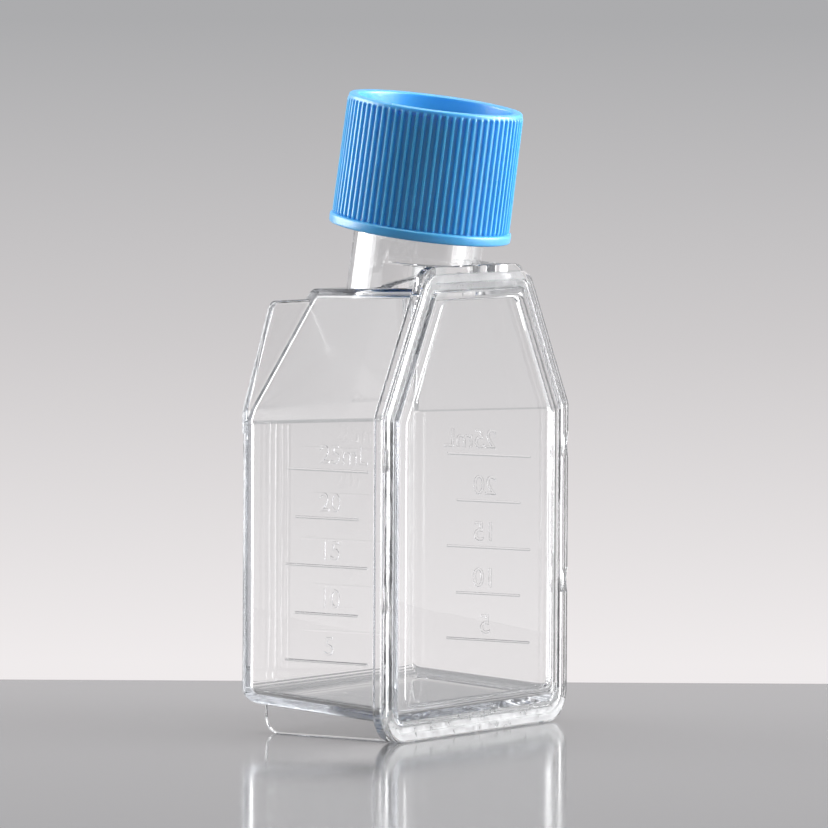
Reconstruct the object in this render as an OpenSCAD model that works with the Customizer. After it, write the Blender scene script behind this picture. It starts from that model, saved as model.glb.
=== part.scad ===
// Cell culture flask, 25 cm2 class, standing on its rear end.
// Clear rectangular moulding with a canted neck, a flat cover plate welded on
// the front, and a ribbed screw cap with a vent disc under its top.
// Millimetres. +Z up, X across the wide faces, Y from the cover plate (front,
// low Y) to the growth wall (back, high Y). Origin: bottom centre of the box.

/* [Body] */
// Width over the weld flange
flange_w = 49.5; // [44:0.5:56]
// Depth from the cover plate's front to the growth wall's back
body_d = 27.8; // [26.8:0.1:30]
// Height of the fold where the shoulders start
fold_z = 48; // [42:0.5:52]
// Height of the cover plate's top edge
cover_top_z = 68.4; // [66:0.2:72]
// How far the shoulders run in, each side
shoulder_in = 11.1; // [9:0.1:12.5]
// Wall thickness of the moulding
wall = 1.3; // [1:0.1:1.6]
// Side wall inset from the flange edge at the flange
inset_front = 1.4; // [1:0.1:2]
// Side wall inset from the flange edge at the growth wall
inset_back = 2.0; // [1.6:0.1:2.6]
// Draft of the shoulder walls, degrees
shoulder_draft = 2.7; // [1.5:0.1:3]
// Radius of the upright edges at the growth wall
edge_r = 1.3; // [1:0.1:2]
// Radius of the lower edge of the growth wall
heel_r = 2.8; // [2:0.1:3.2]
// Lean of the ramp above the fold, degrees
ramp_deg = 16.8; // [15:0.1:17]
// Rear wall underside height at the flange
rear_z_front = 3.0; // [2.5:0.1:3.5]
// Rear wall underside height at the growth wall
rear_z_back = 4.7; // [4:0.1:5.2]
// Foot fin thickness
fin_t = 1.4; // [1.2:0.1:2]
// Foot fin inset from the flange edge
fin_in = 5; // [4:0.25:8]

/* [Cover and flange] */
// Thickness of the cover plate's rim, front to weld face
cover_rim_t = 1.2; // [1:0.1:1.4]
// Thickness of the body's weld flange
flange_t = 1.5; // [1.2:0.1:1.8]
// Height the body flange stands above the cover's top edge
flange_lip = 1.1; // [0.6:0.1:1.4]
// Lower corner radius of flange and cover
low_corner_r = 5; // [4:0.25:6]
// Upper corner radius of flange and cover
top_corner_r = 4; // [3:0.25:4.5]
// Rim frame width round the window
frame_w = 5; // [4.6:0.1:5.6]

/* [Graduations] */
// Height of the 5 mL line
grad_first_z = 11.5; // [10:0.5:13]
// Spacing of the graduation lines
grad_step = 7.06; // [6.5:0.01:7.2]
// Number of lines
grad_n = 5; // [3:1:5]
// Long line length
grad_long = 14.6; // [12:0.2:16]
// Short line length
grad_short = 10.6; // [8:0.2:11]

/* [Neck] */
// Cant of the neck toward the cover plate, degrees
cant = 8.4; // [6:0.1:9]
// Outside diameter of the neck tube
neck_od = 19.5; // [18.5:0.1:19.8]
// Bore diameter of the neck
neck_bore = 16.6; // [15.5:0.1:17]
// Outside diameter of the threaded finish, at the thread root
finish_od = 20.4; // [20:0.1:20.5]
// Outside diameter over the neck thread
thread_od = 22.4; // [22.2:0.1:22.5]
// Thread lead for one turn
thread_lead = 4; // [4:0.1:4.4]

/* [Cap] */
// Diameter over the lower bead of the cap
cap_od = 27.2; // [27:0.1:28]
// Diameter over the top ring of the cap
cap_top_od = 26; // [25.8:0.1:26.4]
// Height of the cap
cap_h = 19.5; // [18.5:0.25:20]
// Number of grip ribs
rib_n = 74; // [48:2:76]
// Depth of the recess in the cap's top
recess_d = 2.6; // [2:0.1:3]
// Diameter of the vent disc
vent_d = 15.4; // [14:0.1:15.6]

/* [Hidden] */
$fn = 64;
hw = flange_w / 2;
// front of the cover plate is y = 0 before the shift
fl_y0 = cover_rim_t;              // front of the body flange
fl_y1 = fl_y0 + flange_t;         // back of the body flange
flange_top = cover_top_z + flange_lip;
sh_k = shoulder_in / (cover_top_z - fold_z);   // shoulder run-in per height
top_half = hw - shoulder_in;      // half width at the cover's top
ftop_half = hw - sh_k * (flange_top - fold_z);
ramp_k = tan(ramp_deg);
ear_z = 64.3 + (cover_top_z - 68.4);           // top of the ears
ear_y = body_d - ramp_k * (ear_z - fold_z);    // ramp face at the ears' top
top_back_z = ear_z + 1.5;                      // top wall at the ramp
top_k = 0.025;                                 // top wall rises toward the flange
top_front_z = top_back_z + top_k * (ear_y - fl_y1);
// neck axis: foot point and local frame
neck_z = 66;
neck_y = 12.4;
saddle_z = flange_top + 0.6;      // top of the fill at the neck's sides
cap_z0 = 8.3;                     // cap's lower edge, up the neck axis
cap_z1 = cap_z0 + cap_h;
plate_t = 1.3;
plate_z1 = cap_z1 - recess_d;     // floor of the recess
plate_z0 = plate_z1 - plate_t;    // underside of the cap's plate
lip_z = plate_z0 - 0.45;          // neck lip
cap_bore = thread_od + 0.8;
cap_thread_id = finish_od + 0.8;
thread_z = 15;                    // neck thread's first third, up the axis
y_low = neck_y - (cap_z1 - 0.7) * sin(cant) - (cap_top_od / 2 + 0.15) * cos(cant);
y_shift = -(y_low + body_d) / 2;

// ---- helpers -------------------------------------------------------------
// convex outline, counterclockwise, each corner rounded with its own radius
function unit(v) = v / norm(v);
function tang(p, q, r, c, s) = p + unit(q - p) * (c / tan(s / 2));
function ang(a, b, c) = acos(max(-1, min(1, unit(a - b) * unit(c - b))));
module rpoly(pts, rs) {
  n = len(pts);
  polygon([for (i = [0 : n - 1]) each
    let (a = pts[(i + n - 1) % n], b = pts[i], c = pts[(i + 1) % n],
         s = ang(a, b, c), t = rs[i] / tan(s / 2))
      rs[i] > 0 ? [b + unit(a - b) * t, b + unit(c - b) * t] : [b]]);
  for (i = [0 : n - 1]) if (rs[i] > 0) {
    a = pts[(i + n - 1) % n]; b = pts[i]; c = pts[(i + 1) % n];
    s = ang(a, b, c);
    translate(b + unit(unit(a - b) + unit(c - b)) * (rs[i] / sin(s / 2))) circle(r = rs[i]);
  }
}
// outline in X and Z, given thickness along Y
module slab_y(y0, y1) translate([0, y1, 0]) rotate([90, 0, 0]) linear_extrude(height = y1 - y0) children();
// outline in Y and Z, given span along X
module slab_x(x0, x1) translate([x0, 0, 0]) rotate([90, 0, 90]) linear_extrude(height = x1 - x0) children();
module neck_frame() translate([0, neck_y, neck_z]) rotate([cant, 0, 0]) children();

// six-cornered outline of cover and flange: sides inset by d, lower edge at
// zb and upper edge at zt
module hexagon(d, zb, zt, rl, rm, rt) {
  xm = hw - d;
  zm = fold_z - d * (sqrt(1 + sh_k * sh_k) - 1) / sh_k;
  xt = hw - sh_k * (zt - fold_z) - d * sqrt(1 + sh_k * sh_k);
  rpoly([[-xm, zb], [xm, zb], [xm, zm], [xt, zt], [-xt, zt], [-xm, zm]],
        [rl, rl, rm, rt, rt, rm]);
}
module outline(d, top, rl, rm, rt) hexagon(d, d, top - d, rl, rm, rt);

// ---- body ----------------------------------------------------------------
// outline of the body in plan, wall inset i
module plan(i) {
  y1 = body_d - i;
  xf = hw - inset_front - i;
  xb = hw - inset_back - i;
  k = (inset_back - inset_front) / (body_d - fl_y1);
  xa = xf + k * fl_y1;
  r = max(edge_r - i, 0.8);
  rpoly([[-xa, 0], [xa, 0], [xb + k * i, y1], [-(xb + k * i), y1]], [0, 0, r, r]);
}
// side profile of the body, wall inset i; the ramp is parallel at i
module side(i, y0) {
  kr = (rear_z_back - rear_z_front) / (body_d - fl_y1);
  zf = rear_z_front - kr * (fl_y1 - y0) + i;
  zb = rear_z_back - kr * i + i;
  fz = fold_z - i * (1 / cos(ramp_deg) - 1) / ramp_k;
  ty = ear_y - i / cos(ramp_deg);
  tzb = top_back_z - i;
  polyz = top_front_z + top_k * (fl_y1 - y0) - i;
  yt = ty - (tzb - ear_z) * ramp_k;
  r = max(heel_r - i, 0.8);
  rpoly([[y0, zf], [body_d - i, zb], [body_d - i, fz], [yt, tzb], [y0, polyz]],
        [0, r, 0, 0, 0]);
}
// everything below one drafted shoulder plane, wall inset i
module under_shoulder(i) {
  zm = fold_z - inset_front * (sqrt(1 + sh_k * sh_k) - 1) / sh_k;
  translate([hw - inset_front, fl_y1, zm]) rotate([0, -atan(sh_k), 0]) rotate([0, 0, shoulder_draft])
    translate([-i - 120, -60, -60]) cube(120);
}
module hollow_form(i, y0) intersection() {
  slab_x(-hw, hw) side(i, y0);
  translate([0, 0, -1]) linear_extrude(height = 80) plan(i);
  under_shoulder(i);
  mirror([1, 0, 0]) under_shoulder(i);
}
// ramp wall carried out to full width beside the shoulders
module ears() intersection() {
  slab_x(-hw, hw) polygon([
    [body_d - 0.05, fold_z - 3], [body_d - 0.05, fold_z], [ear_y - 0.05, ear_z],
    [ear_y - wall / cos(ramp_deg), ear_z],
    [body_d - wall / cos(ramp_deg), fold_z], [body_d - wall, fold_z - 3]]);
  translate([0, 0, -1]) linear_extrude(height = 80) plan(0.05);
  // the ears' outer top corners
  slab_y(0, body_d + 1) rpoly([[-hw + inset_back - 0.6, 0], [hw - inset_back + 0.6, 0],
    [hw - inset_back + 0.35, ear_z], [-hw + inset_back - 0.35, ear_z]], [0, 0, 1.2, 1.2]);
}
module fins() for (s = [-1, 1]) mirror([s < 0 ? 1 : 0, 0, 0])
  slab_x(hw - fin_in - fin_t, hw - fin_in)
    rpoly([[fl_y1 - 0.3, 0], [body_d - 2.5, 0], [body_d - 2.5, rear_z_back + 0.6], [fl_y1 - 0.3, rear_z_front + 0.6]],
          [0, 2.4, 0, 0]);
// fill between the flange and the front half of the neck's foot
module saddle() slab_x(-neck_od / 2 + 0.04, neck_od / 2 - 0.04)
  polygon([[fl_y1 - 0.2, top_back_z - 1], [neck_y + 0.1, top_back_z - 1],
    [neck_y - (saddle_z - neck_z) * tan(cant), saddle_z], [fl_y1 - 0.2, flange_top + 0.1]]);
module graduations() for (s = [-1, 1]) for (j = [0 : grad_n - 1]) {
  l = j % 2 == 0 ? grad_long : grad_short;
  zc = grad_first_z + j * grad_step;
  k = (inset_back - inset_front) / (body_d - fl_y1);
  yc = 12.3;
  xc = hw - inset_front - k * (yc - fl_y1);
  translate([s * xc, yc, zc]) rotate([0, 0, s * atan(k)]) cube([0.4, l, 0.3], center = true);
}
module neck_thread(r_in, r_out, z0, thirds, flip) {
  // one helical rib in thirds of a turn, broken at the mould's parting lines
  tilt = atan(thread_lead / (PI * (r_in + r_out)));
  for (j = [0 : thirds - 1])
    translate([0, 0, z0 + j * thread_lead / 3]) rotate([0, 0, j * 120]) rotate([tilt, 0, 0])
      rotate([0, 0, -52]) rotate_extrude(angle = 104)
        polygon(flip ? [[r_out + 0.4, -0.93], [r_out + 0.4, 0.93], [r_in, 0.3], [r_in, -0.3]]
                     : [[r_in - 0.5, -0.925], [r_out, -0.25], [r_out, 0.25], [r_in - 0.5, 0.925]]);
}
module flask_body() color([0.86, 0.9, 0.93, 0.35]) translate([0, y_shift, 0]) difference() {
  union() {
    hollow_form(0, fl_y1 - 0.2);
    slab_y(fl_y0, fl_y1) outline(0, flange_top, low_corner_r, 1.6, top_corner_r);
    ears();
    fins();
    saddle();
    graduations();
    neck_frame() {
      translate([0, 0, -4]) cylinder(d = neck_od, h = 4 + 9);
      translate([0, 0, 9]) cylinder(d = finish_od, h = lip_z - 9);
      neck_thread(finish_od / 2, thread_od / 2, thread_z, 4, false);
    }
  }
  // chamber, open at the front
  hollow_form(wall, fl_y0 - 1);
  // neck bore down into the chamber
  neck_frame() translate([0, 0, -6]) cylinder(d = neck_bore, h = lip_z + 7);
}

// ---- cover plate ---------------------------------------------------------
module cover_plate() color([0.86, 0.9, 0.93, 0.35]) translate([0, y_shift, 0]) difference() {
  union() {
    // outer lip and floor of the weld groove
    slab_y(0.7, cover_rim_t) outline(0, cover_top_z, low_corner_r, 1.6, top_corner_r - 0.4);
    difference() {
      slab_y(0.25, 0.8) outline(0, cover_top_z, low_corner_r, 1.6, top_corner_r - 0.4);
      slab_y(0, 1) outline(1.2, cover_top_z, low_corner_r - 1.2, 1.4, top_corner_r - 1.4);
    }
    // raised bead round the window
    slab_y(0.2, 1) outline(2.4, cover_top_z, low_corner_r - 2.4, 1.2, top_corner_r - 2.4);
    slab_y(0, 1) outline(2.8, cover_top_z, low_corner_r - 2.8, 1.1, top_corner_r - 2.8);
    // window plate and its tongue inside the body's mouth
    slab_y(0.7, 2.0) hexagon(3.15, rear_z_front + wall + 0.3, top_front_z - wall - 0.4, 1.6, 1, 1.2);
    slab_y(0.75, cover_rim_t) outline(3.6, cover_top_z, 1.6, 1, 1.2);
  }
  slab_y(-1, 0.8) hexagon(frame_w, frame_w + 0.35, cover_top_z - frame_w + 1.1, 0.9, 0.8, 0.9);
  // shallow nests in the edge, two a side
  for (s = [-1, 1]) for (z = [21.2, 41.8])
    translate([s * (hw + 3.6), -1, z]) rotate([-90, 0, 0]) cylinder(r = 4.1, h = 4);
}

// ---- cap -----------------------------------------------------------------
module cap_shell() color([0.13, 0.5, 0.85]) translate([0, y_shift, 0]) neck_frame() {
  r0 = cap_od / 2 - 0.75;          // rib root above the bead
  r1 = cap_top_od / 2 - 0.3;       // rib root below the top ring
  z0 = cap_z0 + 1.5;
  z1 = cap_z1 - 0.8;
  tap = atan((r0 - r1) / (z1 - z0));
  difference() {
    union() {
      translate([0, 0, cap_z0]) cylinder(d = cap_od, h = 1.5);
      translate([0, 0, z0 - 0.05]) cylinder(r1 = r0, r2 = r1, h = z1 - z0 + 0.1);
      translate([0, 0, z1]) cylinder(d = cap_top_od, h = 0.8);
      for (i = [0 : rib_n - 1]) rotate([0, 0, (i + 0.5) * 360 / rib_n])
        translate([r0, 0, z0 - 0.2]) rotate([0, -tap, 0]) translate([-0.5, -0.27, 0])
          cube([0.95, 0.54, (z1 - z0) / cos(tap) + 0.3]);
    }
    // recess in the top, inside the raised ring
    translate([0, 0, plate_z1]) cylinder(d = cap_top_od - 3, h = recess_d + 1);
    // bore of the skirt
    translate([0, 0, cap_z0 - 1]) cylinder(d = cap_bore, h = plate_z0 - cap_z0 + 1);
    // vent holes over the disc
    for (a = [0 : 60 : 300]) rotate([0, 0, a]) translate([4.4, 0, plate_z0 - 1]) cylinder(d = 3, h = plate_t + 2);
    translate([0, 0, plate_z0 - 1]) cylinder(d = 3, h = plate_t + 2);
  }
  intersection() {
    neck_thread(cap_thread_id / 2, cap_bore / 2, thread_z - thread_lead / 2, 3, true);
    translate([0, 0, cap_z0]) cylinder(d = cap_bore + 0.5, h = cap_h);
  }
}
module vent_disc() color([0.95, 0.95, 0.94]) translate([0, y_shift, 0]) neck_frame()
  translate([0, 0, plate_z0 - 0.35]) cylinder(d = vent_d, h = 0.3);

flask_body();
cover_plate();
cap_shell();
vent_disc();
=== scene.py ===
import math
import bpy
import bmesh
from mathutils import Matrix, Vector


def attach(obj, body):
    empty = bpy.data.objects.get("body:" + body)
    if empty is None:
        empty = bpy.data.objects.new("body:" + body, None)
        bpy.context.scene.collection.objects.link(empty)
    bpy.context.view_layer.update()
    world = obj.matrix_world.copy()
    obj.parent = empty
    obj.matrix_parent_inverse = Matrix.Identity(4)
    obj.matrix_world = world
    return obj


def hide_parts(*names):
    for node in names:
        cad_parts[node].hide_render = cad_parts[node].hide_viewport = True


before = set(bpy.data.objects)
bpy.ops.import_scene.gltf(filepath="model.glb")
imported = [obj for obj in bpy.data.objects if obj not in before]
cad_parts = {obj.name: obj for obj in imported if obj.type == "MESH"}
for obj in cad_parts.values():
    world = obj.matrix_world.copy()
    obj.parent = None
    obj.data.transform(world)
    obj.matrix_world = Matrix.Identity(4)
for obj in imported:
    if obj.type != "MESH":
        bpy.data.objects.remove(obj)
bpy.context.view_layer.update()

MM = 0.001

# ---------------------------------------------------------------- camera
scene = bpy.context.scene
cam_data = bpy.data.cameras.new("camera")
cam = bpy.data.objects.new("camera", cam_data)
scene.collection.objects.link(cam)
scene.camera = cam
az, el, roll = math.radians(56.5), math.radians(3.163), math.radians(0.3)
look = Vector((math.sin(az) * math.cos(el), math.cos(az) * math.cos(el), -math.sin(el)))
right = Vector((math.cos(az), -math.sin(az), 0.0))
up = right.cross(look)
r2 = math.cos(roll) * right + math.sin(roll) * up
u2 = -math.sin(roll) * right + math.cos(roll) * up
target = Vector((0.0, 0.3838, 47.0)) * MM
place = target - look * (7228.0 / 6.7) * MM
cam.matrix_world = Matrix((
    (r2.x, u2.x, -look.x, place.x),
    (r2.y, u2.y, -look.y, place.y),
    (r2.z, u2.z, -look.z, place.z),
    (0, 0, 0, 1)))
cam_data.sensor_fit = "HORIZONTAL"
cam_data.sensor_width = 36.0
cam_data.lens = 36.0 * 7228.0 / 828.0
cam_data.clip_start = 0.05
cam_data.clip_end = 20.0

# ---------------------------------------------------------------- sizes, mm
# Y is counted from the cover's front here, and shifted into the frame by YS.
YS = -11.616109
HW = 24.75                      # half the flange width
FZ = 48.0                       # height of the fold
CT = 68.4                       # top of the cover
FT = 69.5                       # top of the body's flange
KS = 11.1 / 20.4                # shoulder run-in per height
SQ = math.sqrt(1 + KS * KS)
SA, CA = KS / SQ, 1 / SQ        # shoulder plane's normal: CA along X, SA along Z
F0, F1 = 1.2, 2.7               # body flange, front and back
D = 27.8                        # back of the growth wall
IF, IB = 1.4, 2.0               # side wall inset at the flange and the growth wall
K1 = (IB - IF) / (D - F1)
TD = math.tan(math.radians(2.7))
ZR0, ZR1 = 3.0, 4.7             # rear wall underside, front and back
KR = (ZR1 - ZR0) / (D - F1)
RAMP = math.radians(16.8)
KRAMP = math.tan(RAMP)
WALL = 1.3
EAR_Z = 64.3
TOPK = 0.025
TOP0 = 65.8 + TOPK * (D - KRAMP * (EAR_Z - FZ) - F1)
CANT = math.radians(8.4)
NECK = Vector((0.0, 12.4, 66.0))
CAP0, CAP1 = 8.3, 27.8          # cap's lower edge and top, up the neck axis
PL1 = CAP1 - 2.6                # floor of the recess
PL0 = PL1 - 1.3                 # underside of the cap's plate
LIP = PL0 - 0.45


def to_m(p):
    return Vector((p[0] * MM, (p[1] + YS) * MM, p[2] * MM))


def neck_pt(r, a, z):
    """A point of the neck's own frame, in fit millimetres."""
    x, y = r * math.cos(a), r * math.sin(a)
    c, s = math.cos(CANT), math.sin(CANT)
    return (x, NECK.y + y * c - z * s, NECK.z + y * s + z * c)


# ---------------------------------------------------------------- mesh helpers
def mesh_obj(name, bm, mats=(), smooth=True):
    bmesh.ops.recalc_face_normals(bm, faces=bm.faces)
    for f in bm.faces:
        f.smooth = smooth
    me = bpy.data.meshes.new(name)
    bm.to_mesh(me)
    bm.free()
    ob = bpy.data.objects.new(name, me)
    scene.collection.objects.link(ob)
    for m in mats:
        me.materials.append(m)
    return ob


def arcs(pts, rs, ns):
    """The corner arcs of a convex outline, one list of points a corner."""
    out = []
    n = len(pts)
    for i in range(n):
        a, b, c = Vector(pts[i - 1]), Vector(pts[i]), Vector(pts[(i + 1) % n])
        u, v = (a - b).normalized(), (c - b).normalized()
        s = math.acos(max(-1.0, min(1.0, u.dot(v))))
        r = max(rs[i], 0.02)
        t = r / math.tan(s / 2)
        cen = b + (u + v).normalized() * (r / math.sin(s / 2))
        p0, p1 = b + u * t, b + v * t
        a0 = math.atan2(p0.y - cen.y, p0.x - cen.x)
        a1 = math.atan2(p1.y - cen.y, p1.x - cen.x)
        d = (a1 - a0 + math.pi) % (2 * math.pi) - math.pi
        out.append([(cen.x + r * math.cos(a0 + d * k / ns[i]), cen.y + r * math.sin(a0 + d * k / ns[i]))
                    for k in range(ns[i] + 1)])
    return out


def loft(bm, rings, cap0=True, cap1=True, mat=0):
    """Closed rings of 3-D points, in fit mm, joined by quads; returns the faces by band."""
    vs = [[bm.verts.new(to_m(p)) for p in ring] for ring in rings]
    n = len(vs[0])
    bands = []
    for a, b in zip(vs, vs[1:]):
        band = []
        for i in range(n):
            f = bm.faces.new((a[i], a[(i + 1) % n], b[(i + 1) % n], b[i]))
            f.material_index = mat
            band.append(f)
        bands.append(band)
    if cap0:
        bm.faces.new(vs[0]).material_index = mat
    if cap1:
        bm.faces.new(list(reversed(vs[-1]))).material_index = mat
    return vs, bands


# ---------------------------------------------------------------- cover and flange outline
NESTS = (21.2, 41.8)
NEST_DZ = (-2.0, -1.75, -1.4, -0.9, -0.3, 0.3, 0.9, 1.4, 1.75, 2.0)


def nest(dz):
    return max(0.0, math.sqrt(max(0.0, 4.1 ** 2 - dz * dz)) - 3.6)


def hex_ring(y, d, zb, zt, rl, rm, rt, nests=True):
    """The six-cornered outline inset by d at the sides, as a ring at depth y."""
    xm = HW - d
    zm = FZ - d * (SQ - 1) / KS
    xt = HW - KS * (zt - FZ) - d * SQ
    a = arcs([(-xm, zb), (xm, zb), (xm, zm), (xt, zt), (-xt, zt)],
             [0.1, rl, rm, rt, 0.1], [1, 8, 4, 7, 1])
    half = list(a[1])
    for c in NESTS:
        for dz in NEST_DZ:
            cut = max(0.0, nest(dz) - d) if nests else 0.0
            half.append((xm - cut, c + dz))
    half += a[2] + a[3]
    full = half + [(-x, z) for x, z in reversed(half)]
    return [(x, y, z) for x, z in full]


def out_ring(y, d, top, nests, low=5.0, hi=4.0):
    return hex_ring(y, d, d, top - d, max(low - d, 0.5), max(1.6 - 0.25 * d, 0.5), max(hi - d, 0.5), nests)


# ---------------------------------------------------------------- body walls
def y_end(z, base, zf, soft):
    """Depth of the growth wall and the ramp at height z."""
    if z < zf - soft:
        return base
    if z > zf + soft:
        return base - KRAMP * (z - zf)
    return base - KRAMP * (z - zf + soft) ** 2 / (4 * soft)


OUTER = dict(i=0.0, base=D, zf=FZ, soft=0.3, rl=1.5, rm=0.9, rt=1.3,
             er=(2.8, 1.3, 0.6, 0.6))
INNER = dict(i=WALL, base=D - WALL,
             zf=FZ + (WALL - WALL / math.cos(RAMP)) / KRAMP, soft=0.2, rl=1.1, rm=0.6, rt=1.0,
             er=(1.7, 0.9, 0.5, 0.5))
# places along the shoulder line, dense at the ramp's fold
FR = [0.03, 0.055, 0.066, 0.074, 0.081, 0.088, 0.095, 0.102, 0.11, 0.12, 0.15, 0.25, 0.4, 0.6, 0.8, 0.97]


def wall_half(y, w, e, eb):
    """Right half of the walls' outline at depth y, inset e (eb at the bottom), bottom to top, with each point's part: 0 low, 1 side, 2 shoulder, 3 top."""
    i = w["i"] + e
    xs = HW - IF - i - K1 * (y - F1)
    zb = ZR0 + KR * (y - F1) + w["i"] + eb
    x0, z0 = HW - IF, FZ - IF * (SQ - 1) / KS
    k = -(y - F1) * TD - i
    zm = z0 + (k - (xs - x0) * CA) / SA
    zt = TOP0 - TOPK * (y - F1) - i
    xt = x0 + (k - (zt - z0) * SA) / CA
    a = arcs([(-xs, zb), (xs, zb), (xs, zm), (xt, zt), (-xt, zt)],
             [0.1, max(w["rl"] - e, 0.3), w["rm"], max(w["rt"] - e, 0.3), 0.1], [1, 7, 4, 6, 1])
    out = [(x, z, n / 7.0) for n, (x, z) in enumerate(a[1])]
    for f in (0.2, 0.4, 0.6, 0.8):
        p, q = a[1][-1], a[2][0]
        out.append((p[0] + (q[0] - p[0]) * f, p[1] + (q[1] - p[1]) * f, 1.0))
    out += [(x, z, 1.0 + n / 4.0) for n, (x, z) in enumerate(a[2])]
    p, q = a[2][-1], a[3][0]
    out += [(p[0] + (q[0] - p[0]) * f, p[1] + (q[1] - p[1]) * f, 2.0) for f in FR]
    out += [(x, z, 2.0 + n / 6.0) for n, (x, z) in enumerate(a[3])]
    return out


def lerp_radius(w, part):
    er = w["er"]
    k = min(int(part), 2)
    return er[k] + (er[k + 1] - er[k]) * (part - k)


def walls(bm, w, y0):
    """The walls' closed form from depth y0 to the growth wall and ramp, edges rounded."""
    parts = [p[2] for p in wall_half(20.0, w, 0.0, 0.0)]
    rings = []

    def full(half):
        return half + [(-x, y, z) for x, y, z in reversed(half)]
    for y in (y0, 9.0, 16.0):
        rings.append(full([(x, y, z) for x, z, _ in wall_half(y, w, 0.0, 0.0)]))
    steps = 6
    for s in range(steps + 1):
        th = math.pi / 2 * s / steps
        half = []
        for j, part in enumerate(parts):
            r = lerp_radius(w, part)
            e, y = min(r, w["er"][1]) * (1 - math.cos(th)), 24.0
            eb = w["er"][0] * (1 - math.cos(th))
            for _ in range(12):
                x, z, _p = wall_half(y, w, e, eb)[j]
                y = y_end(z, w["base"], w["zf"], w["soft"]) - r * (1 - math.sin(th))
            x, z, _p = wall_half(y, w, e, eb)[j]
            half.append((x, y, z))
        rings.append(full(half))
    vs, _ = loft(bm, rings, cap1=False)
    last = vs[-1]
    n = len(last)
    for j in range(n // 2 - 1):
        bm.faces.new((last[j], last[j + 1], last[n - 2 - j], last[n - 1 - j]))


def ear(bm, side):
    """One ear: the ramp wall carried past the shoulder, side -1 or 1."""
    th = WALL / math.cos(RAMP)
    rings = []
    zs = [44.6, 46.0, 47.4, 47.6, 47.7, 47.8, 47.9, 48.0, 48.1, 48.2, 48.3, 48.4, 50.0, 53.0, 56.0, 60.0, 62.6]
    top = [EAR_Z - 1.3 + 1.3 * math.sin(math.radians(a)) for a in (12, 24, 36, 47, 57, 66, 74, 81, 86)]
    for z in zs + top:
        fl = 0.0
        if z > EAR_Z - 0.3:
            fl = 0.3 - math.sqrt(max(0.0, 0.09 - (z - EAR_Z + 0.3) ** 2))
        ye = y_end(z, D, FZ, 0.3) - 0.015 - fl
        yi = y_end(z, D, FZ, 0.3) - th + 0.015 + fl
        dz = max(0.0, z - (EAR_Z - 1.3))
        xo = HW - IF - K1 * (ye - F1) - 0.015 - (1.3 - math.sqrt(max(0.0, 1.69 - dz * dz)))
        t = ye - yi
        a = arcs([(10.0, yi), (xo, yi), (xo, ye), (10.0, ye)], [0.05, t * 0.22, t * 0.62, 0.05], [1, 4, 6, 1])
        ring = [(side * x, y, z) for c in a for x, y in c]
        rings.append(ring)
    loft(bm, rings)


def fin(bm, side):
    y1 = D - 2.5
    cx = HW - 5.0 - 0.7
    rings = []
    for x, e in ((-0.7, 0.22), (-0.64, 0.08), (-0.5, 0.0), (0.5, 0.0), (0.64, 0.08), (0.7, 0.22)):
        a = arcs([(F1 - 0.3, e), (y1 - e, e), (y1 - e, ZR1 + 0.5), (F1 - 0.3, ZR0 + 0.5)],
                 [0.05, 2.4 - e, 0.05, 0.05], [1, 9, 1, 1])
        rings.append([(side * (cx + x), y, z) for c in a for y, z in c])
    loft(bm, rings)


def saddle(bm):
    rings = []
    w = 9.71
    for x, e in ((-w, 0.35), (-w + 0.05, 0.17), (-w + 0.17, 0.05), (-w + 0.35, 0.0),
                 (w - 0.35, 0.0), (w - 0.17, 0.05), (w - 0.05, 0.17), (w, 0.35)):
        rings.append([(x, 2.5, 64.8), (x, 12.45, 64.8), (x, 11.8, 70.1 - e), (x, 2.5, 69.48 - e)])
    loft(bm, rings)


def lathe(bm, prof, n, mat=0, turn=0.0):
    """prof: (r, z) from one axis end to the other, in the neck's frame."""
    rings = [[neck_pt(r, 2 * math.pi * k / n + turn, z) for k in range(n)] for r, z in prof]
    loft(bm, rings, mat=mat)


def thread(bm, r_in, r_out, z0, lead, a0, a1, w0, w1, n=116, fade=0.5):
    """A helical ridge; r_in is buried in the wall."""
    rings = []
    for k in range(n + 1):
        a = a0 + (a1 - a0) * k / n
        g = min(1.0, (a - a0) / fade, (a1 - a) / fade)
        g = 0.5 - 0.5 * math.cos(math.pi * max(g, 0.0))
        r = r_in + (r_out - r_in) * (0.12 + 0.88 * g)
        z = z0 + lead * a / (2 * math.pi)
        m = r_in + (r - r_in) * 0.8
        ring = [(r_in, -w0), (m, -w1 * 1.35), (r - 0.03, -w1 * 0.9), (r, -w1 * 0.4),
                (r, w1 * 0.4), (r - 0.03, w1 * 0.9), (m, w1 * 1.35), (r_in, w0)]
        rings.append([neck_pt(q, a, z + dz) for q, dz in ring])
    loft(bm, rings)


# ---------------------------------------------------------------- materials
def new_mat(name):
    m = bpy.data.materials.new(name)
    m.use_nodes = True
    nt = m.node_tree
    for n in list(nt.nodes):
        nt.nodes.remove(n)
    out = nt.nodes.new("ShaderNodeOutputMaterial")
    return m, nt, out


def node(nt, kind, **kw):
    n = nt.nodes.new(kind)
    for k, v in kw.items():
        if k in n.inputs:
            n.inputs[k].default_value = v
        else:
            setattr(n, k, v)
    return n


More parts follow.
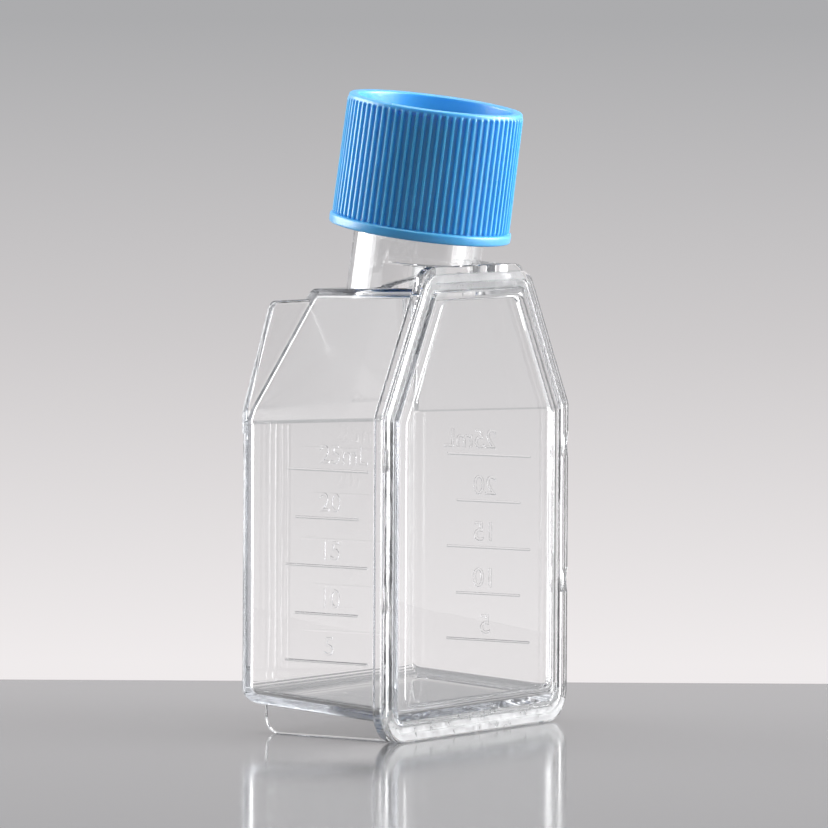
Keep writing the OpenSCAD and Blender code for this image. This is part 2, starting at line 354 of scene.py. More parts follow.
def noise_bump(nt, scale, strength, distance, detail=2.0, rough=0.5, chain=None, stretch=None):
    tc = node(nt, "ShaderNodeTexCoord")
    src = tc.outputs["Object"]
    if stretch:
        mp = node(nt, "ShaderNodeMapping")
        mp.inputs["Scale"].default_value = stretch
        nt.links.new(src, mp.inputs["Vector"])
        src = mp.outputs["Vector"]
    nz = node(nt, "ShaderNodeTexNoise", Scale=scale, Detail=detail, Roughness=rough)
    nt.links.new(src, nz.inputs["Vector"])
    bp = node(nt, "ShaderNodeBump", Strength=strength, Distance=distance)
    nt.links.new(nz.outputs["Fac"], bp.inputs["Height"])
    if chain is not None:
        nt.links.new(chain, bp.inputs["Normal"])
    return bp.outputs["Normal"], nz.outputs["Fac"]


def clear_plastic(name):
    """Clear polystyrene. Face layers tell where it is weld (1), milky flash (1) or a little hazy (1)."""
    m, nt, out = new_mat(name)
    b = node(nt, "ShaderNodeBsdfPrincipled")
    b.inputs["IOR"].default_value = 1.58
    b.inputs["Transmission Weight"].default_value = 1.0

    def layer(key):
        return node(nt, "ShaderNodeAttribute", attribute_name=key).outputs["Fac"]

    def calc(op, x, y, z=None):
        n = node(nt, "ShaderNodeMath", operation=op)
        for sock, v in zip(n.inputs, (x, y, z)):
            if v is None:
                continue
            if isinstance(v, (int, float)):
                sock.default_value = v
            else:
                nt.links.new(v, sock)
        return n.outputs[0]

    weld, milk, haze = layer("weld"), layer("milk"), layer("haze")
    either = calc("MAXIMUM", weld, milk)
    # the slow waves that moulded polystyrene has, finer flow lines, and the blotches of a weld
    n1, _ = noise_bump(nt, 55.0, 0.028, 0.0006, detail=1.0)
    n2, _ = noise_bump(nt, 260.0, 0.01, 0.0002, detail=2.0, chain=n1, stretch=(1, 1, 0.35))
    tc = node(nt, "ShaderNodeTexCoord")
    nz = node(nt, "ShaderNodeTexNoise", Scale=620.0, Detail=4.0, Roughness=0.65)
    nt.links.new(tc.outputs["Object"], nz.inputs["Vector"])
    blotch = nz.outputs["Fac"]
    bp = node(nt, "ShaderNodeBump", Strength=0.7, Distance=0.0004)
    nt.links.new(calc("MULTIPLY", blotch, either), bp.inputs["Height"])
    nt.links.new(n2, bp.inputs["Normal"])
    nt.links.new(bp.outputs["Normal"], b.inputs["Normal"])
    # milkiness in blotches: dense in the flash, thinner in the weld line
    dense = node(nt, "ShaderNodeMapRange")
    for key, v in (("From Min", 0.36), ("From Max", 0.60), ("To Min", 0.40), ("To Max", 0.95)):
        dense.inputs[key].default_value = v
    nt.links.new(blotch, dense.inputs["Value"])
    amount = calc("MULTIPLY", dense.outputs[0], calc("MAXIMUM", calc("MULTIPLY", weld, 0.9), calc("MULTIPLY", milk, 0.85)))
    nt.links.new(calc("SUBTRACT", 1.0, amount), b.inputs["Transmission Weight"])
    # up the sides the weld has long dark runs with white bridges painted into its colour, a painted reflection of the
    # dark ground; their colour and length are given here
    mp = node(nt, "ShaderNodeMapping")
    mp.inputs["Scale"].default_value = (1, 1, 0.16)
    nt.links.new(tc.outputs["Object"], mp.inputs["Vector"])
    runs = node(nt, "ShaderNodeTexNoise", Scale=620.0, Detail=2.0, Roughness=0.5)
    nt.links.new(mp.outputs["Vector"], runs.inputs["Vector"])
    # mask of the runs of painted dark reflection
    painted_dark_runs = node(nt, "ShaderNodeMapRange")
    for key, v in (("From Min", 0.42), ("From Max", 0.46), ("To Min", 0.0), ("To Max", 1.0)):
        painted_dark_runs.inputs[key].default_value = v
    nt.links.new(runs.outputs["Fac"], painted_dark_runs.inputs["Value"])
    dark = calc("MULTIPLY", painted_dark_runs.outputs[0], layer("seam"))
    mx = node(nt, "ShaderNodeMix", data_type="RGBA")
    mx.inputs[6].default_value = (1.0, 1.0, 1.0, 1)
    mx.inputs[7].default_value = (0.97, 0.975, 0.985, 1)
    nt.links.new(either, mx.inputs[0])
    mg = node(nt, "ShaderNodeMix", data_type="RGBA")
    mg.inputs[7].default_value = (0.10, 0.105, 0.12, 1)
    nt.links.new(dark, mg.inputs[0])
    nt.links.new(mx.outputs[2], mg.inputs[6])
    nt.links.new(mg.outputs[2], b.inputs["Base Color"])
    mr = node(nt, "ShaderNodeMapRange")
    for key, v in (("From Min", 0.35), ("From Max", 0.65), ("To Min", 0.25), ("To Max", 0.6)):
        mr.inputs[key].default_value = v
    nt.links.new(blotch, mr.inputs["Value"])
    nt.links.new(calc("MULTIPLY_ADD", haze, 0.17, calc("MULTIPLY", mr.outputs[0], either)), b.inputs["Roughness"])
    nt.links.new(b.outputs[0], out.inputs["Surface"])
    # a little absorption, so that thick rims and edges go grey
    v = node(nt, "ShaderNodeVolumeAbsorption", Density=19.0)
    v.inputs["Color"].default_value = (0.50, 0.53, 0.58, 1)
    nt.links.new(v.outputs[0], out.inputs["Volume"])
    return m


def cap_plastic(name):
    m, nt, out = new_mat(name)
    b = node(nt, "ShaderNodeBsdfPrincipled")
    tc = node(nt, "ShaderNodeTexCoord")
    nz = node(nt, "ShaderNodeTexNoise", Scale=170.0, Detail=3.0, Roughness=0.6)
    nt.links.new(tc.outputs["Object"], nz.inputs["Vector"])
    cr = node(nt, "ShaderNodeValToRGB")
    cr.color_ramp.elements[0].position = 0.3
    cr.color_ramp.elements[0].color = (0.065, 0.395, 0.74, 1)
    cr.color_ramp.elements[1].position = 0.7
    cr.color_ramp.elements[1].color = (0.080, 0.425, 0.80, 1)
    nt.links.new(nz.outputs["Fac"], cr.inputs["Fac"])
    nt.links.new(cr.outputs["Color"], b.inputs["Base Color"])
    b.inputs["IOR"].default_value = 1.5
    b.inputs["Specular IOR Level"].default_value = 1.0
    b.inputs["Subsurface Weight"].default_value = 0.6
    b.inputs["Subsurface Radius"].default_value = (0.6, 0.9, 1.0)
    b.inputs["Subsurface Scale"].default_value = 0.0013
    mr = node(nt, "ShaderNodeMapRange")
    mr.inputs["To Min"].default_value = 0.24
    mr.inputs["To Max"].default_value = 0.36
    nt.links.new(nz.outputs["Fac"], mr.inputs["Value"])
    nt.links.new(mr.outputs[0], b.inputs["Roughness"])
    n1, _ = noise_bump(nt, 2600.0, 0.12, 0.00006, detail=3.0)
    nt.links.new(n1, b.inputs["Normal"])
    nt.links.new(b.outputs[0], out.inputs["Surface"])
    return m


def membrane(name):
    m, nt, out = new_mat(name)
    b = node(nt, "ShaderNodeBsdfPrincipled")
    tc = node(nt, "ShaderNodeTexCoord")
    nz = node(nt, "ShaderNodeTexNoise", Scale=1800.0, Detail=5.0, Roughness=0.7)
    nt.links.new(tc.outputs["Object"], nz.inputs["Vector"])
    cr = node(nt, "ShaderNodeValToRGB")
    cr.color_ramp.elements[0].color = (0.72, 0.72, 0.70, 1)
    cr.color_ramp.elements[1].color = (0.9, 0.9, 0.88, 1)
    nt.links.new(nz.outputs["Fac"], cr.inputs["Fac"])
    nt.links.new(cr.outputs["Color"], b.inputs["Base Color"])
    b.inputs["Roughness"].default_value = 0.85
    n1, _ = noise_bump(nt, 2400.0, 0.5, 0.0001, detail=5.0)
    nt.links.new(n1, b.inputs["Normal"])
    nt.links.new(b.outputs[0], out.inputs["Surface"])
    return m


def plain(name, col, rough):
    m, nt, out = new_mat(name)
    b = node(nt, "ShaderNodeBsdfPrincipled")
    b.inputs["Base Color"].default_value = (*col, 1)
    b.inputs["Roughness"].default_value = rough
    nt.links.new(b.outputs[0], out.inputs["Surface"])
    return m


def to_layers(ob):
    """Face layers weld, milk and haze from the material places 1, 2 and 3; one material is left."""
    me = ob.data
    for key, place in (("weld", 1), ("milk", 2), ("haze", 3)):
        at = me.attributes.new(key, "FLOAT", "FACE")
        at.data.foreach_set("value", [1.0 if p.material_index == place else 0.0 for p in me.polygons])
    # the weld up the two sides, which gets the runs of painted dark reflection
    at = me.attributes.new("seam", "FLOAT", "FACE")
    at.data.foreach_set("value", [1.0 if p.material_index == 1 and 8 * MM < p.center.z < 46 * MM else 0.0 for p in me.polygons])
    for p in me.polygons:
        p.material_index = 0
    while len(me.materials) > 1:
        me.materials.pop(index=len(me.materials) - 1)


def assign(obj, mat):
    obj.data.materials.clear()
    obj.data.materials.append(mat)


CLEAR = clear_plastic("clear_body")
CLEAR2 = clear_plastic("clear_cover")
WELD = plain("spare", (0.8, 0.8, 0.8), 0.5)      # holds the second material place until the layers are set
BLUE = cap_plastic("cap_blue")
assign(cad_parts["vent_disc"], membrane("vent_white"))

# ---------------------------------------------------------------- cover
bm = bmesh.new()
rings = []


def frame_ring(y, e):
    return hex_ring(y, 5.0 + e, 5.35 + e, 64.5 - e, max(1.5 - e, 0.4), 0.8, max(1.5 - e, 0.4))


for e, y in ((0.14, 0.80), (0.05, 0.77), (0.0, 0.68), (-0.03, 0.22), (-0.08, 0.09), (-0.18, 0.02), (-0.32, 0.0)):
    rings.append(frame_ring(y, e))
for d, y in ((2.86, 0.0), (2.70, 0.03), (2.58, 0.12), (2.52, 0.27), (2.46, 0.60), (2.37, 0.69), (2.22, 0.72),
             (1.58, 0.72), (1.44, 0.69), (1.36, 0.61), (1.31, 0.42), (1.24, 0.30), (1.10, 0.25),
             (0.32, 0.25), (0.14, 0.28), (0.04, 0.36), (0.0, 0.50), (0.0, 0.98), (0.04, 1.10), (0.12, 1.16), (0.25, 1.18)):
    rings.append(out_ring(y, d, CT, True, hi=3.6))
n_back = len(rings)
for d in (0.8, 1.3, 2.5, 3.1):
    rings.append(out_ring(1.18, d, CT, True, hi=3.6))
for e, y in ((0.0, 1.18), (0.0, 1.86), (0.06, 1.96), (0.2, 2.0)):
    rings.append(hex_ring(y, 3.2 + e, 4.6 + e, 64.6 - e, 1.6, 1.0, 1.3))
vs, bands = loft(bm, rings)
for k, band in enumerate(bands):
    for f in band:
        c = f.calc_center_median()
        low = c.z < 4.6 * MM
        if k == n_back + 1 or (low and n_back <= k <= n_back + 2):
            f.material_index = 1
        # the weld at the heel has spread to the front, so the groove and the land are milky there
        if 13 <= k <= 19 and c.z < 3.3 * MM:
            f.material_index = 2
cover = mesh_obj("cover", bm, (CLEAR2, WELD, WELD))
to_layers(cover)

# ---------------------------------------------------------------- body
ops = []
bm = bmesh.new()
walls(bm, OUTER, 2.5)
body = mesh_obj("body", bm, (CLEAR, WELD))

bm = bmesh.new()
rings = [out_ring(y, d, FT, False) for d, y in (
    (2.9, 1.2), (2.5, 1.2), (1.3, 1.2), (0.8, 1.2), (0.25, 1.2), (0.1, 1.23), (0.0, 1.36),
    (0.0, 2.5), (0.06, 2.64), (0.2, 2.7))]
vs, bands = loft(bm, rings)
for k, band in enumerate(bands):
    for f in band:
        low = f.calc_center_median().z < 4.6 * MM
        if k == 1 or (low and k in (0, 1, 2)):
            f.material_index = 1
ops.append(mesh_obj("op_flange", bm, (CLEAR, WELD)))
for side in (-1, 1):
    bm = bmesh.new()
    ear(bm, side)
    ops.append(mesh_obj("op_ear", bm, (CLEAR, WELD)))
    bm = bmesh.new()
    fin(bm, side)
    ops.append(mesh_obj("op_fin", bm, (CLEAR, WELD)))
bm = bmesh.new()
saddle(bm)
ops.append(mesh_obj("op_saddle", bm, (CLEAR, WELD)))
bm = bmesh.new()
lathe(bm, [(9.0, -4.0), (9.75, -3.9), (9.75, 8.4), (9.83, 8.8), (10.1, 9.1), (10.2, 9.5), (10.2, LIP - 0.6),
           (10.13, LIP - 0.3), (9.95, LIP - 0.1), (9.7, LIP)], 128)
ops.append(mesh_obj("op_neck", bm, (CLEAR, WELD)))
bm = bmesh.new()
thread(bm, 9.9, 11.2, 15.0, 4.0, math.radians(-52), math.radians(412), 0.95, 0.3)
ops.append(mesh_obj("op_thread", bm, (CLEAR, WELD)))

# graduations, raised on both narrow sides
GRADS = [(11.5 + 7.06 * j, 14.8 if j % 2 == 0 else 11.3, t) for j, t in enumerate(("5", "10", "15", "20", "25mL"))]
MID = {-1: 11.9, 1: 14.0}


def side_x(y):
    return HW - IF - K1 * (y - F1)


def text_mesh(text, size, place, bevel):
    """The letters as a closed mesh: flat, with sloped sides, so that they take light softly."""
    cu = bpy.data.curves.new("label", "FONT")
    cu.body = text
    cu.size = size * MM
    cu.extrude = 0.09 * MM
    cu.bevel_depth = bevel * MM
    cu.bevel_resolution = 1
    cu.offset = (0.02 - bevel) * MM
    cu.resolution_u = 4
    to = bpy.data.objects.new("label", cu)
    scene.collection.objects.link(to)
    bpy.context.view_layer.update()
    me = bpy.data.meshes.new_from_object(to.evaluated_get(bpy.context.evaluated_depsgraph_get()))
    me.transform(place)
    bpy.data.objects.remove(to)
    bm = bmesh.new()
    bm.from_mesh(me)
    bmesh.ops.remove_doubles(bm, verts=bm.verts, dist=2e-6)
    return bm


mark_objs = []
for side in (-1, 1):
    mid = MID[side]
    for z, ln, text in GRADS:
        bm = bmesh.new()
        rings = []
        for y, e in ((mid - ln / 2, 0.1), (mid - ln / 2 + 0.1, 0.0), (mid + ln / 2 - 0.1, 0.0), (mid + ln / 2, 0.1)):
            x = side_x(y)
            rings.append([(side * (x - 0.2), y, z - 0.19), (side * (x + 0.05), y, z - 0.19 + e * 0.6),
                          (side * (x + 0.12), y, z - 0.08), (side * (x + 0.12), y, z + 0.08),
                          (side * (x + 0.05), y, z + 0.19 - e * 0.6), (side * (x - 0.2), y, z + 0.19)])
        loft(bm, rings)
        mark_objs.append(mesh_obj("op_line", bm, (CLEAR, WELD)))
        # reading direction is -Y on the left side and +Y on the right one
        y0 = mid - side * (1.4 if len(text) > 1 else 0.5)
        k = Vector((side * -K1, 1, 0)).normalized() * side
        upv = Vector((0, 0, 1))
        nrm = k.cross(upv)
        o = to_m((side * side_x(y0), y0, z + 1.05)) - nrm * (0.02 * MM)
        bm = text_mesh(text, 3.85 if side < 0 else 4.15, Matrix(((k.x, upv.x, nrm.x, o.x), (k.y, upv.y, nrm.y, o.y),
                                           (k.z, upv.z, nrm.z, o.z), (0, 0, 0, 1))), 0.07 if side < 0 else 0.13)
        mark_objs.append(mesh_obj("op_text", bm, (CLEAR, WELD)))
ops += mark_objs

bm = bmesh.new()
walls(bm, INNER, 1.0)
cut_a = mesh_obj("op_cavity", bm, (CLEAR, WELD))
bm = bmesh.new()
lathe(bm, [(8.3, -6.2), (8.3, LIP - 0.5), (8.37, LIP - 0.22), (8.55, LIP - 0.05), (8.8, LIP + 0.02), (8.8, LIP + 1.5)], 128)
cut_b = mesh_obj("op_bore", bm, (CLEAR, WELD))


def boolean(target, objs, op):
    """Exact boolean, worked in millimetres on triangles."""
    for o in [target] + objs:
        bm = bmesh.new()
        bm.from_mesh(o.data)
        bmesh.ops.triangulate(bm, faces=bm.faces)
        bm.to_mesh(o.data)
        bm.free()
        o.data.transform(Matrix.Scale(1000.0, 4))
    col = bpy.data.collections.new("operands")
    scene.collection.children.link(col)
    for o in objs:
        col.objects.link(o)
    md = target.modifiers.new("b", "BOOLEAN")
    md.operation = op
    md.solver = "EXACT"
    md.operand_type = "COLLECTION"
    md.collection = col
    md.material_mode = "INDEX"
    bpy.context.view_layer.update()
    dg = bpy.context.evaluated_depsgraph_get()
    me = bpy.data.meshes.new_from_object(target.evaluated_get(dg), preserve_all_data_layers=True, depsgraph=dg)
    me.transform(Matrix.Scale(0.001, 4))
    target.modifiers.clear()
    old = target.data
    target.data = me
    bpy.data.meshes.remove(old)
    for o in objs:
        m = o.data
        bpy.data.objects.remove(o)
        bpy.data.meshes.remove(m)
    bpy.data.collections.remove(col)


def keep_largest(ob):
    bm = bmesh.new()
    bm.from_mesh(ob.data)
    bmesh.ops.remove_doubles(bm, verts=bm.verts, dist=1e-7)
    seen, best = set(), []
    for f in bm.faces:
        if f in seen:
            continue
        seen.add(f)
        isle, stack = [], [f]
        while stack:
            g = stack.pop()
            isle.append(g)
            for e in g.edges:
                if len(e.link_faces) != 2:
                    continue
                for h in e.link_faces:
                    if h not in seen:
                        seen.add(h)
                        stack.append(h)
        if len(isle) > len(best):
            best = isle
    keep = set(best)
    bmesh.ops.delete(bm, geom=[f for f in bm.faces if f not in keep], context="FACES")
    bm.to_mesh(ob.data)
    bm.free()


boolean(body, ops, "UNION")
boolean(body, [cut_a, cut_b], "DIFFERENCE")
keep_largest(body)


def haze_shoulders(ob):
    """The shoulders, inside and out, and the graduations are a little less polished than the windows."""
    x0, z0 = HW - IF, FZ - IF * (SQ - 1) / KS
    ob.data.materials.append(WELD)
    ob.data.materials.append(WELD)
    vs = [v.co * 1000.0 for v in ob.data.vertices]
    for p in ob.data.polygons:
        c = p.center * 1000.0
        if 4 < c.y - YS < 24 and 10.5 < c.z < 46 and abs(c.x) > side_x(c.y - YS) + 0.004:
            p.material_index = 3        # the raised lines and numbers are as soft
            continue
        if abs(p.normal.z) < 0.3:
            continue
        d = []
        for k in p.vertices:
            v = vs[k]
            y = v.y - YS
            d.append((abs(v.x) - x0) * CA + (v.z - z0) * SA + (y - F1) * TD if y > F1 + 0.05 else 9.0)
        if max(abs(q) for q in d) < 0.02 or max(abs(q + WALL) for q in d) < 0.02:
            p.material_index = 3


def finish_shading(ob, deg):
    """Corner normals: flat areas stay truly flat, and only the narrow strips between them are smoothed."""
    bm = bmesh.new()
    bm.from_mesh(ob.data)
    bmesh.ops.remove_doubles(bm, verts=bm.verts, dist=1e-7)
    bmesh.ops.dissolve_degenerate(bm, edges=bm.edges, dist=1e-7)
    bm.faces.ensure_lookup_table()
    nrm = [f.normal.copy() for f in bm.faces]
    area = [f.calc_area() * 1e6 for f in bm.faces]
    group = [-1] * len(nrm)
    g_area, g_len, g_nrm = [], [], []
    order = sorted(range(len(nrm)), key=lambda k: -area[k])
    near = math.cos(math.radians(0.5))
    for seed in order:
        if group[seed] >= 0:
            continue
        g = len(g_area)
        group[seed] = g
        stack, total, around = [seed], 0.0, 0.0
        while stack:
            k = stack.pop()
            total += area[k]
            for e in bm.faces[k].edges:
                mate = [f.index for f in e.link_faces if f.index != k]
                same = False
                for q in mate:
                    if group[q] == g:
                        same = True
                    elif group[q] < 0 and (nrm[q].dot(nrm[seed]) > near or area[q] < 1e-6):
                        group[q] = g
                        stack.append(q)
                        same = True
                if not same:
                    around += e.calc_length() * 1e3
        g_area.append(total)
        g_len.append(around)
        g_nrm.append(nrm[seed])
    flat = [2 * a / max(p, 1e-6) > 0.55 for a, p in zip(g_area, g_len)]
    lim = math.cos(math.radians(deg))
    own = {}
    for v in bm.verts:
        fs = [f.index for f in v.link_faces]
        for k in fs:
            n0 = g_nrm[group[k]] if area[k] < 1e-6 else nrm[k]
            close = {group[q] for q in fs if g_nrm[group[q]].dot(n0) > lim}
            close.add(group[k])
            big = [g for g in close if flat[g]]
            if flat[group[k]]:
                n = g_nrm[group[k]]
            elif big:
                n = g_nrm[max(big, key=lambda g: g_area[g])]
            else:
                n = Vector((0, 0, 0))
                for g in close:
                    n += g_nrm[g] * g_area[g]
                n.normalize()
            own[(v.index, k)] = n
    for f in bm.faces:
        f.smooth = True
    bm.verts.index_update()
    bm.to_mesh(ob.data)
    bm.free()
    loops = [None] * len(ob.data.loops)
    for p in ob.data.polygons:
        for li in p.loop_indices:
            loops[li] = own[(ob.data.loops[li].vertex_index, p.index)]
    ob.data.normals_split_custom_set(loops)


haze_shoulders(body)
to_layers(body)
bpy.data.materials.remove(WELD)
finish_shading(body, 34)
finish_shading(cover, 34)

# ---------------------------------------------------------------- cap
RIBS = 74
US = [0.0, 0.11, 0.21, 0.25, 0.29, 0.33, 0.37, 0.5, 0.63, 0.67, 0.71, 0.75, 0.79, 0.89]
COLS = [(k + u) / RIBS * 2 * math.pi for k in range(RIBS) for u in US]


def rib(u):
    t = abs(u - 0.5)
    if t < 0.12:
        return 1.0 - 0.06 * (t / 0.12) ** 2
    if t > 0.29:
        return 0.0
    s = (t - 0.12) / 0.17
    return 0.94 * (1 - s * s * (3 - 2 * s))


BEAD, TOPR = 13.6, 13.0
ZB, ZT = CAP0 + 1.5, CAP1 - 0.8


def root(z):
    return 12.85 + (12.7 - 12.85) * (z - ZB) / (ZT - ZB)


# outer wall, bottom to top: (radius, height, rib share)
prof = [(BEAD - 0.35, CAP0, 0), (BEAD - 0.12, CAP0 + 0.06, 0), (BEAD, CAP0 + 0.3, 0), (BEAD, ZB - 0.32, 0),
        (BEAD - 0.07, ZB - 0.12, 0), (BEAD - 0.22, ZB - 0.02, 0), (root(ZB) + 0.25, ZB + 0.02, 0.15)]
for z, s in ((ZB + 0.08, 0.55), (ZB + 0.25, 0.93), (ZB + 0.5, 1.0)):
    prof.append((root(z), z, s))
for k in range(1, 12):
    z = ZB + 0.5 + (ZT - ZB - 1.3) * k / 12
    prof.append((root(z), z, 1.0))
for z, s in ((ZT - 0.8, 1.0), (ZT - 0.5, 1.0)):
    prof.append((root(z), z, s))
# the valleys flare out to the top edge while the ribs run straight on into it
for dz, dr, s in ((-0.30, 0.015, 0.97), (-0.16, 0.05, 0.88), (-0.06, 0.11, 0.72), (0.02, 0.18, 0.52), (0.09, 0.245, 0.32),
                  (0.17, 0.285, 0.14), (0.27, 0.3, 0.0)):
    prof.append((root(ZT) + dr, ZT + dz, s))
prof += [(TOPR, CAP1 - 0.36, 0),
         (TOPR - 0.05, CAP1 - 0.16, 0), (TOPR - 0.18, CAP1 - 0.04, 0), (TOPR - 0.38, CAP1, 0),
         (11.95, CAP1, 0), (11.72, CAP1 - 0.05, 0), (11.57, CAP1 - 0.18, 0), (11.5, CAP1 - 0.4, 0),
         (11.42, PL1 + 0.35, 0), (11.36, PL1 + 0.12, 0), (11.2, PL1 + 0.02, 0), (11.0, PL1, 0)]
# inner side, top to bottom
inner = [(11.0, PL0, 0), (11.35, PL0 - 0.04, 0), (11.52, PL0 - 0.16, 0), (11.6, PL0 - 0.4, 0)]
T0, TL = 13.0, 4.0
zi = [PL0 - 0.7 - (PL0 - 0.7 - CAP0 - 0.5) * k / 62 for k in range(63)]
inner += [(11.6, z, 0) for z in zi] + [(11.66, CAP0 + 0.18, 0), (11.85, CAP0, 0)]


def in_thread(a, z):
    """How far the cap's own thread stands in from the bore at angle a and height z."""
    best = 0.0
    for turn in (-1, 0, 1):
        aa = a + turn * 2 * math.pi
        a0, a1 = math.radians(-52), math.radians(292)
        if a0 <= aa <= a1:
            g = min(1.0, (aa - a0) / 0.45, (a1 - aa) / 0.45)
            g = 0.5 - 0.5 * math.cos(math.pi * g)
            dz = abs(z - (T0 + TL * aa / (2 * math.pi)))
            h = 1.0 if dz < 0.3 else max(0.0, 1 - (dz - 0.3) / 0.6)
            best = max(best, g * (h * h * (3 - 2 * h)))
    return best * 1.0


bm = bmesh.new()
loops = []
for r, z, s in prof:
    loops.append([bm.verts.new(to_m(neck_pt(r + 0.45 * s * rib(US[i % len(US)]), a, z))) for i, a in enumerate(COLS)])
COLS_IN = COLS[::4]
for a, b in zip(loops, loops[1:]):
    for i in range(len(COLS)):
        j = (i + 1) % len(COLS)
        bm.faces.new((a[i], a[j], b[j], b[i]))
in_loops = []
for r, z, s in inner:
    in_loops.append([bm.verts.new(to_m(neck_pt(r - in_thread(a, z), a, z))) for a in COLS_IN])
for a, b in zip(in_loops, in_loops[1:]):
    n = len(COLS_IN)
    for i in range(n):
        j = (i + 1) % n
        bm.faces.new((a[i], a[j], b[j], b[i]))
# lower rim: outer loop of 1036 columns down to inner loop of 259, four to one
n = len(COLS_IN)
oa, ib = loops[0], in_loops[-1]
for i in range(n):
    q = [oa[(4 * i + k) % len(oa)] for k in range(5)]
    bm.faces.new([ib[i]] + q + [ib[(i + 1) % n]])


# the plate and its vent holes
def circle(r, cx, cy, z, n):
    out = []
    for k in range(n):
        a = 2 * math.pi * k / n
        x, y = cx + r * math.cos(a), cy + r * math.sin(a)
        out.append(bm.verts.new(to_m(neck_pt(math.hypot(x, y), math.atan2(y, x), z))))
    return out


def loop_edges(vs):
    out = []
    for i in range(len(vs)):
        e = bm.edges.get((vs[i], vs[(i + 1) % len(vs)]))
        out.append(e or bm.edges.new((vs[i], vs[(i + 1) % len(vs)])))
    return out


centres = [(0.0, 0.0)] + [(4.4 * math.cos(math.radians(a)), 4.4 * math.sin(math.radians(a))) for a in range(0, 360, 60)]
top_e, low_e = loop_edges(loops[-1]), loop_edges(in_loops[0])
for cx, cy in centres:
    hs = [circle(r, cx, cy, z, 40) for r, z in ((1.68, PL1), (1.56, PL1 - 0.04), (1.5, PL1 - 0.14), (1.5, PL0 + 0.1), (1.6, PL0))]
    for a, b in zip(hs, hs[1:]):
        for i in range(40):
            j = (i + 1) % 40
            bm.faces.new((a[i], a[j], b[j], b[i]))
    top_e += loop_edges(hs[0])
    low_e += loop_edges(hs[-1])
bmesh.ops.triangle_fill(bm, use_beauty=True, use_dissolve=False, edges=top_e)
bmesh.ops.triangle_fill(bm, use_beauty=True, use_dissolve=False, edges=low_e)
cap = mesh_obj("screw_cap", bm, (BLUE,))
finish_shading(cap, 50)

for ob, bodyname, slot, nodes in ((body, "flask", "clear_body", ("flask_body",)), (cover, "flask", "clear_cover", ("cover_plate",)),
                                  (cap, "cap", "cap_blue", ("cap_shell",))):
    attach(ob, bodyname)
    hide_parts(*nodes)

# ---------------------------------------------------------------- stage
AHEAD = Vector((math.sin(az), math.cos(az), 0))
ASIDE = Vector((math.cos(az), -math.sin(az), 0))


def sheet(name, prof, half, mat):
    bm = bmesh.new()
    rows = []
    for t, z in prof:
        row = []
        for w in (-half, half):
            p = AHEAD * t + ASIDE * w
            row.append(bm.verts.new((p.x, p.y, z)))
        rows.append(row)
    for a, b in zip(rows, rows[1:]):
        bm.faces.new((a[0], a[1], b[1], b[0])).smooth = True
    me = bpy.data.meshes.new(name)
    bm.to_mesh(me)
    bm.free()
    ob = bpy.data.objects.new(name, me)
    scene.collection.objects.link(ob)
    ob.data.materials.append(mat)
    return ob


def backdrop_mat():
    """A wall that glows with painted light, paler at the horizon and greyer toward the top, not lit by the lamps."""
    m, nt, out = new_mat("backdrop_painted_glow")
    geo = node(nt, "ShaderNodeNewGeometry")
    sep = node(nt, "ShaderNodeSeparateXYZ")
    nt.links.new(geo.outputs["Position"], sep.inputs[0])
    mr = node(nt, "ShaderNodeMapRange")
    mr.inputs["From Min"].default_value = -0.035
    mr.inputs["From Max"].default_value = 0.105
    nt.links.new(sep.outputs["Z"], mr.inputs["Value"])
    cr = node(nt, "ShaderNodeValToRGB")
    cr.color_ramp.elements[0].position = 0.0
    cr.color_ramp.elements[0].color = (0.870, 0.838, 0.842, 1)
    e = cr.color_ramp.elements.new(0.5)
    e.color = (0.620, 0.600, 0.606, 1)
    cr.color_ramp.elements[2].position = 1.0
    cr.color_ramp.elements[2].color = (0.412, 0.412, 0.422, 1)
    nt.links.new(mr.outputs[0], cr.inputs["Fac"])
    # painted light: the wall glows in the ramp's shades
    em = node(nt, "ShaderNodeEmission", Strength=1.0)
    nt.links.new(cr.outputs["Color"], em.inputs["Color"])
    # seen from behind it isn't there, so that it doesn't hide the flask's back
    see = node(nt, "ShaderNodeBsdfTransparent")
    mix = node(nt, "ShaderNodeMixShader")
    nt.links.new(geo.outputs["Backfacing"], mix.inputs[0])
    nt.links.new(em.outputs[0], mix.inputs[1])
    nt.links.new(see.outputs[0], mix.inputs[2])
    nt.links.new(mix.outputs[0], out.inputs["Surface"])
    return m


floor_m = plain("floor_pale", (0.215, 0.215, 0.22), 0.11)
sheet("floor", [(-1.4, 0.0), (0.075, 0.0)], 2.0, floor_m)
sheet("backdrop", [(0.5, -0.3), (0.5, 0.25)], 0.3, backdrop_mat())

# ---------------------------------------------------------------- light
world = bpy.data.worlds.new("world")
scene.world = world
world.use_nodes = True
wn = world.node_tree
for n in list(wn.nodes):
    wn.nodes.remove(n)
wo = wn.nodes.new("ShaderNodeOutputWorld")
bg = wn.nodes.new("ShaderNodeBackground")
tc = wn.nodes.new("ShaderNodeTexCoord")


def along(v):
    d = wn.nodes.new("ShaderNodeVectorMath")
    d.operation = "DOT_PRODUCT"
    d.inputs[1].default_value = tuple(v)
    wn.links.new(tc.outputs["Generated"], d.inputs[0])
    m = wn.nodes.new("ShaderNodeMath")
    m.operation = "MULTIPLY_ADD"
    m.inputs[1].default_value = 0.5
    m.inputs[2].default_value = 0.5
    wn.links.new(d.outputs["Value"], m.inputs[0])
    return m.outputs[0]


def grey_ramp(src, stops):
    """stops: (place from 0 to 1, radiance over 2)."""
    cr = wn.nodes.new("ShaderNodeValToRGB")
    cr.color_ramp.interpolation = "EASE"
    els = cr.color_ramp.elements
    for k, (at, v) in enumerate(stops):
        e = els[k] if k < 2 else els.new(at)
        e.position = at
        e.color = (v, v, v * 1.01, 1)
    wn.links.new(src, cr.inputs["Fac"])
    return cr.outputs["Color"]


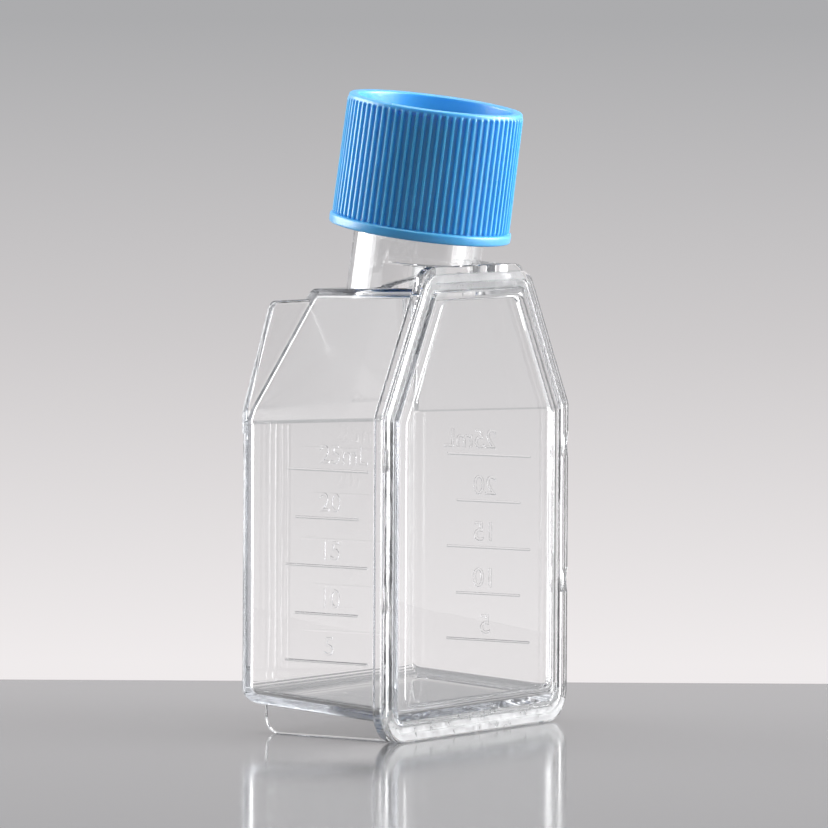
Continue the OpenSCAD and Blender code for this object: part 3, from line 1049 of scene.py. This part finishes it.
# radiance around the object: dim behind the camera, pale to the sides and the back, brightest overhead
around = grey_ramp(along(AHEAD), [(0.0, 0.04), (1.0, 0.36), (0.22, 0.06), (0.40, 0.34), (0.55, 0.50), (0.80, 0.45), (0.93, 0.30)])
over = grey_ramp(along((0, 0, 1)), [(0.0, 0.0), (1.0, 1.0), (0.84, 0.0), (0.97, 1.0)])
mix = wn.nodes.new("ShaderNodeMixRGB")
wn.links.new(over, mix.inputs["Fac"])
wn.links.new(around, mix.inputs["Color1"])
mix.inputs["Color2"].default_value = (0.75, 0.75, 0.755, 1)
wn.links.new(mix.outputs["Color"], bg.inputs["Color"])
bg.inputs["Strength"].default_value = 2.0
wn.links.new(bg.outputs[0], wo.inputs["Surface"])


def area(name, loc, aim, size, size_y, power, col=(1, 1, 1)):
    d = bpy.data.lights.new(name, "AREA")
    d.shape = "RECTANGLE"
    d.size, d.size_y, d.energy, d.color = size, size_y, power, col
    o = bpy.data.objects.new(name, d)
    scene.collection.objects.link(o)
    o.location = loc
    o.rotation_euler = (Vector(aim) - Vector(loc)).to_track_quat("-Z", "Y").to_euler()
    return o


def polar(deg, dist, up_m):
    """A place seen deg to the right of straight ahead (left if negative)."""
    a = math.radians(deg)
    p = AHEAD * math.cos(a) * dist + ASIDE * math.sin(a) * dist
    return (p.x, p.y, up_m)


area("left_box", polar(-68, 0.62, 0.19), (0, 0, 0.06), 0.56, 0.44, 3.2)
area("right_box", polar(96, 0.62, 0.27), (0, 0, 0.06), 0.55, 0.60, 4.8)
area("top_box", (0.0, 0.0, 0.80), (0, 0, 0.05), 0.45, 0.45, 1.6)
# two more boxes that light the cap alone
only = bpy.data.collections.new("cap_only")
only.objects.link(cap)
for name, deg, h, power in (("cap_right", 78, 0.24, 4.0), ("cap_left", -84, 0.24, 1.1)):
    area(name, polar(deg, 0.62, h), (0, 0, 0.085), 0.45, 0.45, power).light_linking.receiver_collection = only

scene.view_settings.view_transform = "Standard"
scene.cycles.max_bounces = 64
scene.cycles.transmission_bounces = 64
scene.cycles.glossy_bounces = 48
scene.cycles.transparent_max_bounces = 20
